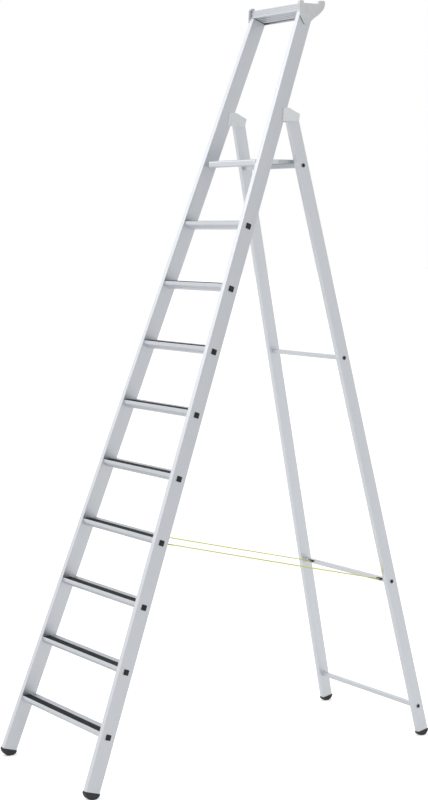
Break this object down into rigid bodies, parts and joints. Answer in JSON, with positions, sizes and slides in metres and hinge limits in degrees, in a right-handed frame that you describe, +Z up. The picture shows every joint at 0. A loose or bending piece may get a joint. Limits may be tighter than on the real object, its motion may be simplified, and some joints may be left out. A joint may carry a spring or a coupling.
{
  "type": "step ladder",
  "caption": "Tall free-standing aluminium step ladder with flat treads, a small tilting platform, a hand hoop with a tool tray, a folding rear support frame and two webbing spreader straps.",
  "frame": {"origin": "middle of the footprint on the floor, the ladder standing open", "axes": "+Z up, +X across the ladder (symmetry axis), -Y towards the climbing side, +Y towards the rear frame"},
  "size_m": [0.7116, 1.6486, 2.965],
  "materials": {
    "extrusion": "satin natural extruded aluminium with fine lengthwise die lines",
    "casting": "matt cast aluminium, slightly grainy",
    "sheet_metal": "satin sheet aluminium",
    "steel": "zinc-plated steel",
    "rivet_metal": "bright satin tubular rivet",
    "tread_insert": "matt black ribbed anti-slip insert",
    "foot_rubber": "matt black moulded rubber-like plastic",
    "black_plastic": "matt black moulded plastic",
    "bush_plastic": "natural nylon",
    "webbing": "woven yellow polyester webbing"
  },
  "bodies": {
    "front_frame": {"stile_left": "extrusion", "stile_right": "extrusion", "tread_1": "extrusion", "tread_2": "extrusion", "tread_3": "extrusion", "tread_4": "extrusion", "tread_5": "extrusion", "tread_6": "extrusion", "tread_7": "extrusion", "tread_8": "extrusion", "tread_9": "extrusion", "tread_strip_1": "tread_insert", "tread_strip_2": "tread_insert", "tread_strip_3": "tread_insert", "tread_strip_4": "tread_insert", "tread_strip_5": "tread_insert", "tread_strip_6": "tread_insert", "tread_strip_7": "tread_insert", "tread_strip_8": "tread_insert", "tread_strip_9": "tread_insert", "tread_end_plugs": "black_plastic", "tool_tray": "extrusion", "tray_end_cap_left": "casting", "tray_end_cap_right": "casting", "hinge_bracket_left": "casting", "hinge_bracket_right": "casting", "hinge_pin_left": "steel", "hinge_pin_right": "steel", "hinge_rivets": "steel", "front_foot_left": "foot_rubber", "front_foot_right": "foot_rubber", "platform_pins": "steel", "strap_brackets": "sheet_metal", "strap_left": "webbing", "strap_right": "webbing"},
    "rear_frame": {"rear_leg_left": "extrusion", "rear_leg_right": "extrusion", "rear_brace_lower": "extrusion", "rear_brace_strap": "extrusion", "rear_brace_middle": "extrusion", "rear_brace_platform": "extrusion", "brace_rivets": "rivet_metal", "brace_end_plugs": "black_plastic", "rear_foot_left": "foot_rubber", "rear_foot_right": "foot_rubber", "hinge_bushes_left": "bush_plastic", "hinge_bushes_right": "bush_plastic", "strap_clip_left": "black_plastic", "strap_clip_right": "black_plastic"},
    "platform": {"platform_deck": "extrusion", "platform_end_cap_left": "casting", "platform_end_cap_right": "casting", "platform_hook_left": "sheet_metal", "platform_hook_right": "sheet_metal", "platform_hook_rivets": "steel"}
  },
  "joints": [
    {"name": "rear_fold", "type": "hinge", "parent": "front_frame", "child": "rear_frame", "pos_m": [0, 0.20928, 2.525], "axis": [-1, 0, 0], "range_deg": [0, 33.7], "deforming": ["strap_left", "strap_right"]},
    {"name": "platform_tilt", "type": "hinge", "parent": "front_frame", "child": "platform", "pos_m": [0, 0.07178, 2.346], "axis": [1, 0, 0], "range_deg": [0, 69.5]}
  ],
  "couplings": [
    {"joint": "platform_tilt", "follows": "rear_fold", "ratio": 2.06}
  ]
}
